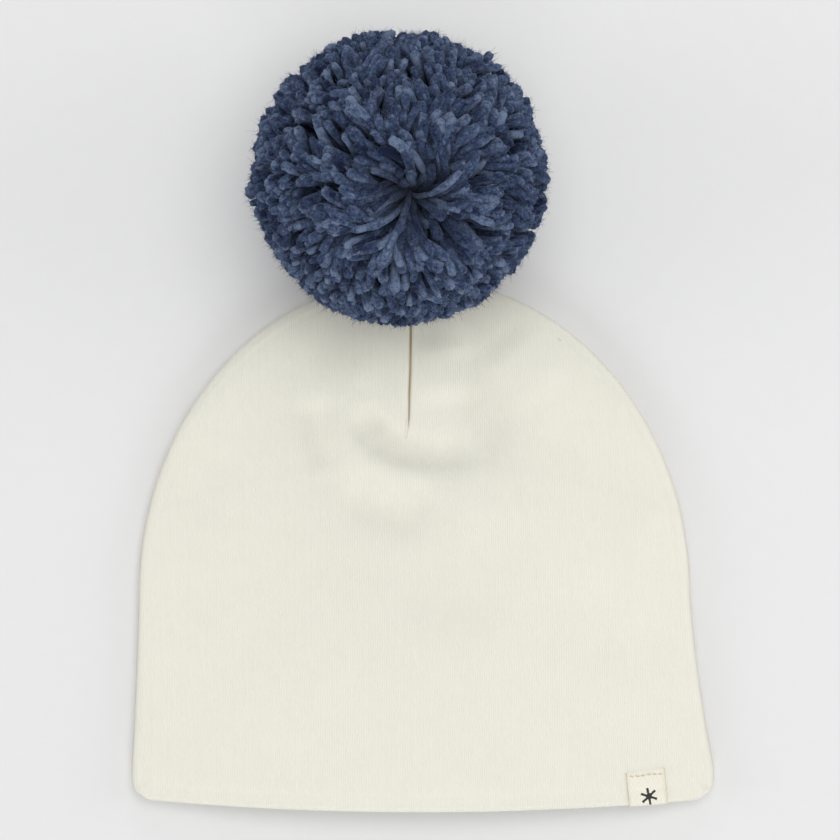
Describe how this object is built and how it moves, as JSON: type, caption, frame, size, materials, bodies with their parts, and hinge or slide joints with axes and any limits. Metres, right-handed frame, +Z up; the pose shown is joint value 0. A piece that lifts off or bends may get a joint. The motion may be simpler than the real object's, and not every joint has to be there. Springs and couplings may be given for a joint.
{
  "type": "pom pom beanie",
  "caption": "Double-layer fine-knit beanie lying flat, with a crown dart, a folded woven tab on the hem and a large cut-yarn pom-pom tied to the crown.",
  "frame": {"origin": "middle of the whole object's box on the table it lies on, below the front of the hat", "axes": "+X across the hem to the wearer's left as the hat lies front up, +Y from the hem to the pom-pom, +Z up from the table"},
  "size_m": [0.212, 0.2782, 0.103],
  "materials": {
    "outer_knit": "matte",
    "lining_knit": "matte",
    "label_weave": "matte",
    "stitch_thread": "satin",
    "care_tape": "satin",
    "felt": "matte",
    "tie_cord": "matte",
    "pom_yarn": "matte"
  },
  "bodies": {
    "hat": {"outer_front": "outer_knit", "outer_back": "outer_knit", "lining_front": "lining_knit", "lining_back": "lining_knit", "outer_side_seam_left": "outer_knit", "outer_side_seam_right": "outer_knit", "lining_side_seam_left": "lining_knit", "lining_side_seam_right": "lining_knit", "outer_front_dart": "outer_knit", "lining_front_dart": "lining_knit", "outer_back_dart": "outer_knit", "lining_back_dart": "lining_knit", "hem_seam_front": "outer_knit", "hem_seam_back": "outer_knit", "woven_label": "label_weave", "label_stitches": "stitch_thread", "care_label": "care_tape", "care_label_stitches": "stitch_thread", "backing_disc": "felt", "anchor_knot": "tie_cord", "tie_tails": "tie_cord", "tie_anchor": "tie_cord"},
    "tie_loop": {"tie_wrap": "tie_cord"},
    "tie_cord": {"tie_stem": "tie_cord"},
    "pom": {"pom_binding": "tie_cord", "pom_yarn": "pom_yarn"}
  },
  "joints": [
    {"name": "pom_nod", "type": "hinge", "parent": "hat", "child": "tie_loop", "pos_m": [-0.004, 0.04238, 0.0172], "axis": [1, 0, 0], "range_deg": [0, 60]},
    {"name": "pom_sway", "type": "hinge", "parent": "tie_loop", "child": "tie_cord", "pos_m": [-0.004, 0.04238, 0.0172], "axis": [0, 0, 1], "range_deg": [-20, 20]},
    {"name": "pom_twist", "type": "hinge", "parent": "tie_cord", "child": "pom", "pos_m": [-0.004, 0.04238, 0.0172], "axis": [-0.0729, 0.7958, 0.6011], "range_deg": [-90, 90]}
  ]
}
